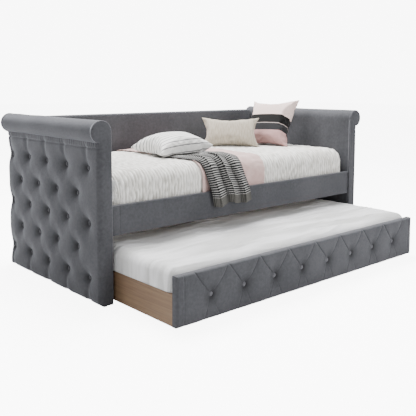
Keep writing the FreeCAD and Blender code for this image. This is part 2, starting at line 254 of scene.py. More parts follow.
# ---- arm sides ----
# Each arm's outer face is thick foam under velvet, pulled in by rows of covered buttons. Soft
# folds run from button to button, up to a seam under the roll and down to the lower edge.
BUTTON_ROWS, BUTTONS_IN_ROW = 5, 5
BUTTON_PITCH_Y, BUTTON_PITCH_Z = 0.2135, 0.1385
BUTTON_RADIUS, BUTTON_DOME = 0.011, 0.42
BUTTON_PIT, BUTTON_PIT_RADIUS, BUTTON_HOLLOW, BUTTON_HOLLOW_RADIUS = 0.014, 0.024, 0.017, 0.056
FOLD_DEPTH, FOLD_WIDTH = 0.0115, 0.022
PAD_CROWN, PAD_EDGE = 0.010, 0.026
SEAM_BELOW_ROLL, SEAM_DEPTH, SEAM_WIDTH = 0.026, 0.004, 0.005
GATHER_DEPTH, GATHER_PITCH = 0.0012, 0.017
ARM_GRID = (230, 190)


def unit_slab(columns, rows):
    """A closed slab from -1 to 1: a fine grid at w = 0 and a single face at w = -1 behind it."""
    bm = bmesh.new()
    bmesh.ops.create_grid(bm, x_segments=columns, y_segments=rows, size=1)
    edges = [e for e in bm.edges if e.is_boundary]
    skirt = bmesh.ops.extrude_edge_only(bm, edges=edges)["geom"]
    verts = [g for g in skirt if isinstance(g, bmesh.types.BMVert)]
    bmesh.ops.translate(bm, verts=verts, vec=(0, 0, -1))
    bmesh.ops.contextual_create(bm, geom=verts + [e for e in bm.edges if e.is_boundary])
    return bm


def reshape(obj, move):
    """Moves every vertex. move takes three coordinate arrays and returns three new ones; any others
    that it returns after them are handed back."""
    places = np.empty(len(obj.data.vertices) * 3)
    obj.data.vertices.foreach_get("co", places)
    x, y, z, *others = move(*places.reshape(-1, 3).T)
    obj.data.vertices.foreach_set("co", np.column_stack((x, y, z)).ravel())
    obj.data.update()
    return others


def waves(a, b, size, seed, count=9):
    """Smooth unevenness between about -1 and 1 over two coordinates, with bumps of about that size."""
    rng = np.random.default_rng(seed)
    total = np.zeros_like(a)
    for _ in range(count):
        angle, phase, pace = rng.uniform(0, math.tau), rng.uniform(0, math.tau), rng.uniform(0.6, 1.5)
        total += np.sin((a * math.cos(angle) + b * math.sin(angle)) * pace * math.tau / (2 * size) + phase)
    return total / (0.75 * math.sqrt(count) * 1.6)


def rounding(distance, radius):
    """How far a surface falls away at this distance from its edge, for a rounded edge."""
    near = np.clip(distance, 0, radius)
    return radius - np.sqrt(np.maximum(radius ** 2 - (radius - near) ** 2, 0))


def set_painted_shade(obj, share):
    """Stores how deep each vertex lies, 0 to 1: the materials darken the hollows with it as painted shade (on the
    velvet partly also for its pressed pile).
    """
    obj.data.attributes.new("painted_shade", "FLOAT", "POINT").data.foreach_set("value", np.clip(share, 0, 1))


def to_segment(a, b, start, end):
    """Distance of points (a, b) from a straight segment, and how far along it they are, 0 to 1."""
    run = (end[0] - start[0], end[1] - start[1])
    along = ((a - start[0]) * run[0] + (b - start[1]) * run[1]) / (run[0] ** 2 + run[1] ** 2)
    along = np.clip(along, 0, 1)
    return np.hypot(a - start[0] - along * run[0], b - start[1] - along * run[1]), along


SHARP_EDGE = 50


def close_up(obj):
    """Joins the edges that meet, closes open ends and turns the faces outwards after a reshape."""
    bm = bmesh.new()
    bm.from_mesh(obj.data)
    bmesh.ops.remove_doubles(bm, verts=bm.verts, dist=1e-5)
    bmesh.ops.holes_fill(bm, edges=[e for e in bm.edges if e.is_boundary], sides=0)
    bmesh.ops.recalc_face_normals(bm, faces=bm.faces)
    bm.to_mesh(obj.data)
    bm.free()
    obj.data.set_sharp_from_angle(angle=math.radians(SHARP_EDGE))


def crowded(t):
    """Moves evenly spaced places between -1 and 1 towards the two ends, for rounded edges."""
    return 0.25 * t + 0.75 * (1.5 * t - 0.5 * t ** 3)


def button_places(side):
    """(row, y, z) of each button, read off the CAD buttons' own box."""
    low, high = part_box("arm_buttons_" + side)
    first_y, top_z = low.y + 0.010, high.z - 0.010
    return [(row, first_y + (row % 2) * BUTTON_PITCH_Y / 2 + k * BUTTON_PITCH_Y, top_z - row * BUTTON_PITCH_Z)
            for row in range(BUTTON_ROWS) for k in range(BUTTONS_IN_ROW - row % 2)]


def tufting(y, z, places, seam_z, low_z):
    """How far the velvet is pulled in at (y, z)."""
    cubes = np.zeros_like(y)
    y = y + 0.004 * waves(y, z, 0.12, 3)
    z = z + 0.003 * waves(y, z, 0.10, 4)
    for row, by, bz in places:
        distance = np.hypot(y - by, z - bz)
        pit = BUTTON_PIT * np.exp(-(distance / BUTTON_PIT_RADIUS) ** 2)
        hollow = BUTTON_HOLLOW * np.exp(-(distance / BUTTON_HOLLOW_RADIUS) ** 2)
        cubes += (pit + hollow) ** 3
        ends = [(oy, oz) for other, oy, oz in places if other == row + 1 and abs(oy - by) < BUTTON_PITCH_Y * 0.6]
        if row == 0:
            ends.append((by, seam_z))
        if row == BUTTON_ROWS - 1:
            ends.append((by, low_z))
        for end in ends:
            distance, along = to_segment(y, z, (by, bz), end)
            open_ended = end[1] in (seam_z, low_z)
            fade = 1 - 0.35 * along if open_ended else 0.62 + 0.38 * np.cos(math.tau * along)
            cubes += (FOLD_DEPTH * fade * np.exp(-(distance / FOLD_WIDTH) ** 2)) ** 3
    return np.cbrt(cubes)


def covered_buttons(name, node, radius, squash, places, material, body):
    """Low domes covered in velvet, one at the bottom of each hollow."""
    bm = bmesh.new()
    for place in places:
        made = bmesh.ops.create_uvsphere(bm, u_segments=16, v_segments=8, radius=radius)["verts"]
        bmesh.ops.scale(bm, verts=made, vec=squash)
        bmesh.ops.translate(bm, verts=made, vec=place)
    buttons = make_piece(name, bm, material, body)
    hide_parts(node)
    return buttons


def arm_side(side, s):
    low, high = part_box("arm_outer_pad_" + side)
    inner, outer = sorted((abs(low.x), abs(high.x)))
    seam_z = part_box("arm_roll_" + side)[0].z - SEAM_BELOW_ROLL
    places = button_places(side)
    front_y, rear_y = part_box("arm_front_facing_" + side)[0].y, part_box("arm_rear_facing_" + side)[1].y

    def move(u, v, w):
        y = front_y - 0.001 + (rear_y - front_y + 0.002) * (crowded(u) + 1) / 2
        z = low.z + (high.z - low.z) * (crowded(v) + 1) / 2
        pulled = tufting(y, z, places, seam_z, low.z)
        seam = SEAM_DEPTH * np.exp(-((z - seam_z) / SEAM_WIDTH) ** 2)
        gathers = GATHER_DEPTH * np.sin(y * math.tau / GATHER_PITCH + 2 * waves(y, z, 0.06, 8))
        gathers *= np.clip((z - seam_z) / 0.01, 0, 1)
        border = np.minimum(np.minimum(y - front_y, rear_y - y), z - low.z) + 0.001
        fullness = PAD_CROWN * np.clip(border / 0.09, 0, 1) ** 0.5
        uneven = 0.0012 * waves(y, z, 0.09, 5)
        face = outer + fullness - pulled - seam - gathers - uneven - rounding(border, PAD_EDGE)
        # The last array is how deep each point lies, which the velvet turns into painted shade in the hollows and
        # folds.
        return s * np.where(w < -0.5, inner + 0.001, face), y, z, np.where(w < -0.5, 0, (pulled - 0.006) / 0.022)

    pad = make_piece("velvet_side_" + side, unit_slab(*ARM_GRID), velvet, "daybed")
    set_painted_shade(pad, *reshape(pad, move))
    close_up(pad)
    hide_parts("arm_outer_pad_" + side)

    bottom = outer - BUTTON_PIT - BUTTON_HOLLOW + PAD_CROWN + 0.003
    buttons = covered_buttons("covered_buttons_" + side, "arm_buttons_" + side, BUTTON_RADIUS, (BUTTON_DOME, 1, 1),
                              [(s * bottom, by, bz) for row, by, bz in places], velvet, "daybed")
    # Painted shade: the buttons are darkened as if they lay deep, since they sit at the bottom of the hollows.
    set_painted_shade(buttons, np.full(len(buttons.data.vertices), 0.45))


SIDES = (("left", -1), ("right", 1))
for side, s in SIDES:
    arm_side(side, s)


# ---- arm rolls, end facings and inner faces ----
# A round bolster runs along the top of each arm. Its ends are closed by a keyhole-shaped
# facing that reaches the floor, edged with a thin piping round the roll and down the inside.
ROLL_POINTS, PLATE_ROUND, PLATE_TUCK = 40, 0.006, 0.027
PIPING_RADIUS, PIPING_INSET = 0.0028, 0.003


def roll_outline(side):
    """Points (distance from the bed's middle, z) round the roll, from its inner foot to its outer one."""
    low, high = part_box("arm_roll_" + side)
    inner = min(abs(low.x), abs(high.x))
    radius = (high.x - low.x) / 2
    centre_x, centre_z = inner + radius, high.z - radius
    outer_wall = max(abs(corner.x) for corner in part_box("arm_outer_pad_" + side))
    end_angle = -math.acos((outer_wall - centre_x) / radius)
    points = [(centre_x + radius * math.cos(a), centre_z + radius * math.sin(a))
              for a in np.linspace(math.pi, end_angle, ROLL_POINTS)]
    return points, centre_x, centre_z, radius


def end_plate(name, outline, y_front, thick):
    """A flat velvet plate across the bed: an outline of (x, z) points, a thickness, soft front edges."""
    bm = bmesh.new()
    verts = [bm.verts.new((x, y_front, z)) for x, z in outline]
    face = bm.faces.new(verts)
    made = bmesh.ops.extrude_face_region(bm, geom=[face])["geom"]
    back = [g for g in made if isinstance(g, bmesh.types.BMVert)]
    bmesh.ops.translate(bm, verts=back, vec=(0, thick, 0))
    rim = [e for e in bm.edges if all(abs(v.co.y - y_front) < 1e-6 for v in e.verts)]
    bmesh.ops.bevel(bm, geom=rim, offset=PLATE_ROUND, segments=4, profile=0.5, affect="EDGES", material=-1)
    return make_piece(name, bm, velvet, "daybed")


def piping(name, points):
    """A thin covered cord sewn along points, made a mesh."""
    curve = bpy.data.curves.new(name, "CURVE")
    curve.dimensions, curve.bevel_depth, curve.bevel_resolution = "3D", PIPING_RADIUS, 3
    curve.use_fill_caps = True
    spline = curve.splines.new("POLY")
    spline.points.add(len(points) - 1)
    for point, place in zip(spline.points, points):
        point.co = (*place, 1)
    holder = bpy.data.objects.new(name, curve)
    mesh = bpy.data.meshes.new_from_object(holder)
    bpy.data.objects.remove(holder)
    mesh.name = name
    mesh.shade_smooth()
    mesh.materials.clear()
    # The cord wears the lighter velvet: painted highlight along the edge.
    mesh.materials.append(velvet_painted_highlight)
    obj = bpy.data.objects.new(name, mesh)
    bpy.context.scene.collection.objects.link(obj)
    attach(obj, "daybed")


def arm_top(side, s):
    outline, centre_x, centre_z, radius = roll_outline(side)
    inner, (outer, foot_z) = outline[0][0], outline[-1]
    low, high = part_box("arm_roll_" + side)
    front_y, floor_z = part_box("arm_front_facing_" + side)[0].yz

    # One length of velvet covers the arm's inner face and goes round the bolster on top.
    board_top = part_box("arm_outer_pad_" + side)[1].z
    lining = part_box("arm_inner_pad_" + side)
    lining_back = max(abs(corner.x) for corner in lining)
    face = [(inner, z) for z in np.linspace(lining[0].z, centre_z, 24)]
    closed = face[:-1] + outline + [(outer, board_top), (lining_back, board_top), (lining_back, lining[0].z), face[0]]
    xs, zs = np.array(closed).T
    steps = np.concatenate(([0], np.cumsum(np.hypot(np.diff(xs), np.diff(zs)))))

    def move(u, v, w):
        t = (u + 1) / 2 * steps[-1]
        x, z = np.interp(t, steps, xs), np.interp(t, steps, zs)
        y = low.y + (high.y - low.y) * (v + 1) / 2
        out = np.hypot(x - centre_x, z - centre_z) + 1e-6
        full = 0.0016 * waves(y * 0.7, z + x, 0.11, 12) * np.clip((out - radius * 0.9) / (radius * 0.1), 0, 1)
        return s * (x + full * (x - centre_x) / out), y, z + full * (z - centre_z) / out

    bm = bmesh.new()
    bmesh.ops.create_grid(bm, x_segments=170, y_segments=60, size=1)
    roll = make_piece("velvet_roll_" + side, bm, velvet, "daybed")
    reshape(roll, move)
    close_up(roll)
    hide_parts("arm_roll_" + side, "arm_inner_pad_" + side)

    # Facings stand at both ends, their far edge tucked behind the buttoned side.
    thick, shrink, tucked = low.y - front_y, (radius - PIPING_INSET) / radius, outer - PLATE_TUCK
    shape = [(s * x, z) for x, z in outline[:-1] + [(tucked, foot_z), (tucked, floor_z), (inner, floor_z)]]
    for end, face_y, inward in (("front", front_y, 1), ("rear", high.y + thick, -1)):
        plate = end_plate("velvet_facing_%s_%s" % (end, side), shape, face_y, thick * inward)
        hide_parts("arm_%s_facing_%s" % (end, side))
        cord_y = face_y + 0.0035 * inward
        path = [(s * (inner + PIPING_INSET), cord_y, floor_z + 0.01)]
        path += [(s * (centre_x + (x - centre_x) * shrink), cord_y, centre_z + (z - centre_z) * shrink)
                 for x, z in outline if x <= centre_x + radius * 0.35 and z > centre_z - 0.001]
        piping("piping_%s_%s" % (end, side), path)


for side, s in SIDES:
    arm_top(side, s)


# ---- plain pads: the back and the front rail ----
# Thin foam under smooth velvet on flat boards, with softly rounded edges. The rail's cover has
# an upright seam near its left end.
SEAM_RIDGE, SEAM_HALF_WIDTH = 0.0022, 0.004


def plain_pad(name, node, bevel, spacing, seed, seam_x=None):
    """A box cut into squares of about that spacing, bevelled, and made slightly uneven on its faces."""
    low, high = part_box(node)
    size = high - low
    bm = bmesh.new()
    bmesh.ops.create_cube(bm, size=1)
    bmesh.ops.scale(bm, verts=bm.verts, vec=size)
    bmesh.ops.translate(bm, verts=bm.verts, vec=(low + high) / 2)
    bmesh.ops.bevel(bm, geom=bm.edges[:], offset=bevel, segments=3, profile=0.5, affect="EDGES", material=-1)
    for axis in range(3):
        for k in range(1, int(size[axis] / spacing)):
            place, normal = Vector((low + high) / 2), Vector((0, 0, 0))
            place[axis], normal[axis] = low[axis] + k * spacing, 1
            bmesh.ops.bisect_plane(bm, geom=bm.verts[:] + bm.edges[:] + bm.faces[:], plane_co=place, plane_no=normal)
    for offset in (-SEAM_HALF_WIDTH, -0.0015, 0, 0.0015, SEAM_HALF_WIDTH) if seam_x else ():
        bmesh.ops.bisect_plane(bm, geom=bm.verts[:] + bm.edges[:] + bm.faces[:],
                               plane_co=(seam_x + offset, 0, 0), plane_no=(1, 0, 0))
    pad = make_piece(name, bm, velvet, "daybed")
    thin = min(range(3), key=lambda k: size[k])
    a, b = [k for k in range(3) if k != thin]

    def move(*xyz):
        xyz = list(xyz)
        border = np.minimum.reduce([xyz[a] - low[a], high[a] - xyz[a], xyz[b] - low[b], high[b] - xyz[b]])
        swell = 0.0012 * waves(xyz[a], xyz[b], 0.16, seed) * np.clip(border / 0.05, 0, 1)
        xyz[thin] = xyz[thin] + swell
        if seam_x:
            ridge = SEAM_RIDGE * np.clip(1 - abs(xyz[0] - seam_x) / SEAM_HALF_WIDTH, 0, 1)
            xyz[1] = xyz[1] + ridge * (xyz[1] < low.y + 0.004)
        return xyz

    reshape(pad, move)
    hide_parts(node)


plain_pad("velvet_back", "back_pad", 0.012, 0.045, 23)
plain_pad("velvet_rail", "front_rail_cover", 0.006, 0.03, 24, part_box("front_rail_cover")[0].x + 0.05)


# ---- boards, slats, screws and casters: the hard pieces keep their CAD shape ----
# Oak-faced end panels and trundle back, planed pine slats and rails, zinc-plated steel,
# dark moulded plastic for wheels and glides, and a thin dark dust cloth behind the back.
grain, place, dark, light, grain_result = two_tone_group("wood_grain")
broad = noise_at(grain, place, 7.0, 4.0, (1, 0.12, 1))
fine = noise_at(grain, place, 130.0, 3.0, (1, 0.03, 1))
pores = noise_at(grain, place, 420.0, 1.0, (1, 0.05, 1))
share = plus(grain, times(grain, broad, 0.6), times(grain, fine, 0.4))
tone = mix_colour(grain, ramp(grain, share, 0.34, 0.62), dark, light)
tone = mix_colour(grain, ramp(grain, pores, 0.60, 0.72, 0.0, 0.35), tone, dark)
grain.links.new(tone, grain_result["Color"])
grain.links.new(maths(grain, "SUBTRACT", fine, times(grain, pores, 0.5)), grain_result["Height"])


def wood_material(name, dark, light, along="Y", roughness=0.55):
    """Wood whose grain runs along that axis."""
    material, tree, coords = start_material(name)
    turned = {"X": (0, 0, math.pi / 2), "Y": (0, 0, 0), "Z": (math.pi / 2, 0, 0)}[along]
    vector = add(tree, "ShaderNodeMapping", Vector=coords["Object"], Rotation=turned).outputs[0]
    made = use_group(tree, grain, Vector=vector, Dark=dark, Light=light)
    return finish_material(material, tree, made.outputs["Color"], roughness, made.outputs["Height"], 0.2, 0.0005)


def finish_nodes(material, *names):
    """Gives a finish to pieces that keep their CAD shape."""
    for name in names:
        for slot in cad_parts[name].material_slots:
            slot.material = material


both, ends = ("left", "right"), ("front", "rear")
OAK_TONES = (0.125, 0.072, 0.037), (0.20, 0.124, 0.070)
PINE_TONES = (0.50, 0.34, 0.19), (0.66, 0.49, 0.31)
oak = wood_material("oak_veneer", *OAK_TONES)
oak_long = wood_material("oak_veneer_long", *OAK_TONES, "X")
pine = wood_material("planed_pine", *PINE_TONES)
pine_long = wood_material("planed_pine_long", *PINE_TONES, "X")
pine_upright = wood_material("planed_pine_upright", *PINE_TONES, "Z")
plywood = wood_material("plywood", (0.36, 0.24, 0.13), (0.50, 0.36, 0.22), "X", 0.7)
finish_nodes(oak, *["trundle_end_" + side for side in both])
finish_nodes(oak_long, "trundle_back_board")
finish_nodes(pine, "slats", "trundle_slats", "caster_blocks")
finish_nodes(pine_long, "front_ledger", "rear_ledger", "trundle_cleat_front", "trundle_cleat_rear",
             "trundle_front_board", "back_top_rail", "back_middle_rail", "back_bottom_rail", "front_rail_board")
finish_nodes(pine_upright, *["arm_%s_post_%s" % (end, side) for end in ends for side in both])
finish_nodes(plywood, "back_board", *["arm_panel_" + side for side in both])

material, tree, coords = start_material("zinc_plate")
spangle = noise_at(tree, coords["Object"], 60.0, 3.0)
zinc_tone = mix_colour(tree, spangle, (0.42, 0.43, 0.45), (0.62, 0.63, 0.65))
zinc = finish_material(material, tree, zinc_tone, ramp(tree, spangle, 0.3, 0.7, 0.28, 0.45), Metallic=1.0)
finish_nodes(zinc, "slat_screws", "trundle_slat_screws", "bracket_bolts", "corner_brackets",
             "caster_forks", "caster_axles")


def plastic_material(name, tone, roughness):
    material, tree, coords = start_material(name)
    scuffs = noise_at(tree, coords["Object"], 90.0, 4.0)
    shade = mix_colour(tree, ramp(tree, scuffs, 0.35, 0.7), tone, [c * 1.7 for c in tone])
    return finish_material(material, tree, shade, roughness, scuffs, 0.15, 0.0004)


finish_nodes(plastic_material("wheel_nylon", (0.035, 0.035, 0.037), 0.5),
             *["wheel_%s_%s" % (end, side) for end in ends for side in both])
finish_nodes(plastic_material("glide_nylon", (0.05, 0.05, 0.05), 0.6), "floor_glides")

weave, weave_in, weave_out = new_group(
    "plain_weave", [("Vector", "NodeSocketVector", None), ("Threads per metre", "NodeSocketFloat", 900.0)],
    [("Height", "NodeSocketFloat")])
scaled = add(weave, "ShaderNodeVectorMath", {"operation": "SCALE"}, i0=weave_in.outputs["Vector"],
             i3=times(weave, weave_in.outputs["Threads per metre"], math.pi)).outputs[0]
axes = add(weave, "ShaderNodeSeparateXYZ", Vector=scaled).outputs
warp_thread, weft_thread = maths(weave, "SINE", axes[0]), maths(weave, "SINE", axes[1])
slub = noise_at(weave, weave_in.outputs["Vector"], 160.0, 2.0)
crossing = times(weave, warp_thread, weft_thread)
height = plus(weave, times(weave, crossing, 0.5), slub)
weave.links.new(height, weave_out.inputs["Height"])


def cloth_start(name):
    """A material that follows the cloth: its place on the flat cloth in metres, also split into two."""
    material = bpy.data.materials.new(name)
    tree = nodes_of(material)
    flat = add(tree, "ShaderNodeAttribute", {"attribute_name": "flat"}).outputs["Vector"]
    across, along = add(tree, "ShaderNodeSeparateXYZ", Vector=flat).outputs[:2]
    return material, tree, flat, across, along


material, tree, coords = start_material("dust_cloth")
cloth = use_group(tree, weave, Vector=coords["Object"])
dust_tone = mix_colour(tree, ramp(tree, cloth.outputs[0], 0.2, 0.8),
                       (0.03, 0.03, 0.033), (0.055, 0.055, 0.06))
finish_nodes(finish_material(material, tree, dust_tone, 0.95, cloth.outputs[0], 0.3, 0.0004),
             "back_rear_cloth")


# ---- mattresses ----
# Foam and springs in a white knitted cover. The upper one is hidden under the coverlet; the
# trundle's lies bare, its cover drawn lengthwise into low wrinkles.
def draped(a, b, low, high, edge, crown=0.0, lift=0.0):
    """Lays flat cloth places (a, b), measured from the middle, over a block with a round edge."""
    middle, half = (low + high) / 2, (high - low) / 2
    flat_x, flat_y = half.x - edge, half.y - edge
    dx, dy = a - np.clip(a, -flat_x, flat_x), b - np.clip(b, -flat_y, flat_y)
    out, norm = np.maximum(abs(dx), abs(dy)), np.hypot(dx, dy) + 1e-12
    angle = np.clip(out / edge, 0, math.pi / 2)
    plan = (edge + lift) * np.sin(angle)
    fall = (edge + lift) * (1 - np.cos(angle)) + np.maximum(out - edge * math.pi / 2, 0)
    x, y = np.clip(a, -flat_x, flat_x) + plan * dx / norm, np.clip(b, -flat_y, flat_y) + plan * dy / norm
    rise = crown * (1 - (x / half.x) ** 4) * (1 - (y / half.y) ** 4)
    return middle.x + x, middle.y + y, high.z + lift + rise - fall


def cap_spans(low, high, edge):
    """Half the flat size of a cloth that covers the block's top and its four sides."""
    reach = edge * math.pi / 2 + (high.z - low.z - edge)
    return (high.x - low.x) / 2 - edge + reach, (high.y - low.y) / 2 - edge + reach


def set_flat(obj, a, b):
    """Stores each vertex's place on the flat cloth, in metres, for the material to read."""
    data = obj.data.attributes.new("flat", "FLOAT_VECTOR", "POINT").data
    data.foreach_set("vector", np.column_stack((a, b, np.zeros_like(a))).ravel())


def block_mattress(name, node, edge, grid, wrinkle, body):
    """A block with a rounded edge whose cover is drawn into wrinkles along the bed."""
    low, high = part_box(node)
    span_a, span_b = cap_spans(low, high, edge)
    obj = make_piece(name, unit_slab(*grid), white_knit, body)

    def move(u, v, w):
        a, b = u * span_a, v * span_b
        drawn = np.clip(1 - abs(waves(a * 0.11, b, 0.045, 31)) * 1.6, 0, 1) ** 2
        drawn += np.clip(1 - abs(waves(a * 0.16, b, 0.028, 33)) * 1.6, 0, 1) ** 2
        drawn *= np.clip(0.5 + 0.5 * waves(a, b, 0.20, 34), 0, 1)
        lift = wrinkle * (drawn + 0.6 * waves(a * 0.5, b, 0.12, 32))
        x, y, z = draped(a, b, low, high, edge)
        sides = np.clip((high.z - z) / edge, 0, 1)
        z = np.where(w < -0.5, low.z, z + lift * (1 - sides) - 0.002)
        return x, y, np.maximum(z, low.z), a, b

    set_flat(obj, *reshape(obj, move))
    close_up(obj)
    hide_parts(node)


material, tree, flat, across, along = cloth_start("white_knit")
soft_folds = noise_at(tree, flat, 9.0, 3.0, (0.16, 1, 1))
knit = use_group(tree, weave, Vector=flat, Threads_per_metre=700.0)
creases = noise_at(tree, flat, 55.0, 4.0, (0.05, 1, 1))
# Painted shade: the cover turns darker grey where the soft folds lie low.
knit_tone = mix_colour(tree, ramp(tree, soft_folds, 0.38, 0.60), (0.58, 0.58, 0.575), (0.84, 0.84, 0.85))
# Painted shade along thin lengthwise creases, in some places only.
some_places = ramp(tree, noise_at(tree, flat, 3.5, 1.0), 0.42, 0.62)
crease_shade = times(tree, ramp(tree, creases, 0.52, 0.68), some_places)
knit_tone = mix_colour(tree, times(tree, crease_shade, 0.45), knit_tone, (0.40, 0.40, 0.40))
knit_height = plus(tree, times(tree, knit.outputs[0], 0.08), soft_folds)
white_knit = finish_material(material, tree, knit_tone, 0.8, knit_height, 0.8, 0.012,
                             Sheen_Weight=0.2, Sheen_Roughness=0.5)
block_mattress("bed_mattress", "mattress", 0.05, (60, 40), 0.001, "daybed")
block_mattress("roll_out_mattress", "trundle_mattress", 0.045, (190, 300), 0.0055, "trundle")


# ---- coverlet ----
# A ribbed ivory cotton coverlet lies over the mattress and is tucked down behind the rail.
# Its crinkled ribs run from front to back, and show most where it hangs at the sides.
COVERLET_EDGE, COVERLET_CROWN = 0.078, 0.010
RIB_PITCH, RIB_HEIGHT = 0.021, 0.0062
CLOTH_THICKNESS = 0.003
cover_low, cover_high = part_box("coverlet")


def bed_surface(a, b, lift):
    return draped(a, b, cover_low, cover_high, COVERLET_EDGE, COVERLET_CROWN, lift)


def laid_sheet(name, node, slot, material, grid, flat_of, place, valleys=None, **sheet):
    """A sheet of cloth: a flat grid, its place on the flat cloth, and where that cloth lies."""
    bm = bmesh.new()
    bmesh.ops.create_grid(bm, x_segments=grid[0], y_segments=grid[1], size=1)
    obj = make_piece(name, bm, material, "daybed")

    def move(u, v, w):
        flat = flat_of(u, v)
        return *place(*flat), *flat

    flat = reshape(obj, move)
    set_flat(obj, *flat)
    # The valleys' depth is stored for the material, which paints shade there.
    if valleys:
        set_painted_shade(obj, valleys(*flat))
    thickness = obj.modifiers.new("thickness", "SOLIDIFY")
    thickness.thickness, thickness.offset = CLOTH_THICKNESS, 0
    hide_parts(node)


def coverlet_rib(a, b):
    """The ribs' height from 0 in the valleys to 1 on the crests: round crests, narrow valleys."""
    drift = 0.55 * waves(a, b, 0.030, 41, 24) + 0.45 * waves(a, b, 0.13, 42)
    crinkle = np.clip(0.66 + 0.50 * waves(a * 2.0, b * 0.9, 0.024, 43, 30), 0.05, 1.1)
    return abs(np.sin(a * math.pi / RIB_PITCH + drift)) * crinkle


def coverlet_place(a, b):
    front_part = np.clip((abs(b) - 0.28) / 0.14, 0, 1)
    ends = np.clip((abs(a) - 0.80) / 0.08, 0, 1)
    rise = RIB_HEIGHT * coverlet_rib(a, b) * (0.5 + 0.5 * np.maximum(front_part, ends))
    return bed_surface(a, b, rise + coverlet_slack(a, b))


def coverlet_slack(a, b):
    return 0.003 * waves(a, b, 0.22, 44)


span_a, span_b = cap_spans(cover_low, cover_high, COVERLET_EDGE)
material, tree, flat, across, along = cloth_start("ivory_rib")
crinkle = noise_at(tree, flat, 80.0, 3.0, (1, 0.30, 1))
patch = noise_at(tree, flat, 6.0, 2.0)
cotton = use_group(tree, weave, Vector=flat, Threads_per_metre=500.0)
# The crinkle darkens the ivory where it lies low, as painted shade; the broad patches vary the tone at random.
shade = plus(tree, times(tree, crinkle, 0.7), times(tree, patch, 0.3))
ivory = mix_colour(tree, ramp(tree, shade, 0.38, 0.58), (0.66, 0.64, 0.59), (0.89, 0.875, 0.84))
# Painted shade in the valleys between the ribs.
ivory = mix_colour(tree, times(tree, read_painted_shade(tree), 0.75), ivory, (0.27, 0.255, 0.225))
ivory_height = plus(tree, crinkle, times(tree, cotton.outputs[0], 0.1))
ivory_rib = finish_material(material, tree, ivory, 0.9, ivory_height, 0.6, 0.004,
                            Sheen_Weight=0.25, Sheen_Roughness=0.5)
laid_sheet("ribbed_coverlet", "coverlet", "coverlet", ivory_rib, (540, 88),
           lambda u, v: (u * span_a, v * span_b), coverlet_place,
           # The rib valleys' depth, for the painted shade there.
           valleys=lambda a, b: np.clip(1 - coverlet_rib(a, b), 0, 1) ** 2,
           flat=(2 * span_a, 2 * span_b), held="draped", rests_on=["bed_mattress"])


# ---- runner ----
# A dusty-pink brushed cotton runner crosses the bed from the rail to the back. It lies over
# the coverlet's ribs, a little askew, and hangs down behind the rail.
RUNNER_SKEW, RUNNER_LIFT = 0.018, 0.0045
runner_low, runner_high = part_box("bed_runner")
runner_middle = (runner_low.x + runner_high.x) / 2 - (cover_low.x + cover_high.x) / 2
runner_half = (runner_high.x - runner_low.x) / 2


def runner_place(a, b):
    ripple = 0.0015 * waves(a, b, 0.09, 51) + 0.0012 * np.sin(b * math.tau / 0.05 + 3 * waves(a, b, 0.1, 52))
    edge_curl = 0.002 * np.clip((abs(a) - runner_half + 0.02) / 0.02, 0, 1)
    across = a + runner_middle + RUNNER_SKEW * (b + 0.3)
    return bed_surface(across, b, RIB_HEIGHT + RUNNER_LIFT + coverlet_slack(across, b) + ripple + edge_curl)


material, tree, flat, across, along = cloth_start("pink_cotton")
ridge = wave(tree, along, 0.009)
blotch = noise_at(tree, flat, 14.0, 3.0)
pink = mix_colour(tree, ramp(tree, blotch, 0.35, 0.65), (0.48, 0.325, 0.30), (0.58, 0.42, 0.39))
# Painted shade in the grooves between the fine ridges.
pink = mix_colour(tree, ramp(tree, ridge, -0.6, 0.9, 0.12, 0.0), pink, (0.40, 0.27, 0.25))
pink_height = plus(tree, times(tree, ridge, 0.4), noise_at(tree, flat, 300.0))
pink_cotton = finish_material(material, tree, pink, 0.9, pink_height, 0.5, 0.0012,
                              Sheen_Weight=0.35, Sheen_Roughness=0.5)
runner_span = span_b - 0.012
laid_sheet("pink_runner", "bed_runner", "runner", pink_cotton, (90, 200),
           lambda u, v: (u * runner_half, v * runner_span), runner_place,
           flat=(2 * runner_half, 2 * runner_span), held="draped", rests_on=["ribbed_coverlet"])


# ---- throw ----
# A thin striped knitted throw, gathered into three long folds. It lies across the bed, hangs
# over the front edge and the rail, and ends in a grey ribbed hem.
THROW_FOLDS, THROW_FOLD_HEIGHT = 3, 0.032
THROW_HEM, THROW_STRIPE = 0.055, 0.0135
PATH_STEP, PATH_PASSES = 0.004, 14
throw_low, throw_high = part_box("throw")
rail_front, rail_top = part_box("front_rail_cover")[0].y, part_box("front_rail_cover")[1].z
throw_top = cover_high.z + 0.023


def lengths_along(points):
    return np.concatenate(([0], np.cumsum(np.linalg.norm(np.diff(points, axis=0), axis=1))))


def smooth_path(points):
    """A dense path through the given points, its corners eased, and the length up to each point."""
    points = np.array(points, float)
    steps = lengths_along(points)
    dense = np.linspace(0, steps[-1], int(steps[-1] / PATH_STEP))
    path = np.column_stack([np.interp(dense, steps, points[:, k]) for k in range(points.shape[1])])
    for _ in range(PATH_PASSES):
        path[1:-1] = (path[:-2] + 2 * path[1:-1] + path[2:]) / 4
    return path, lengths_along(path)


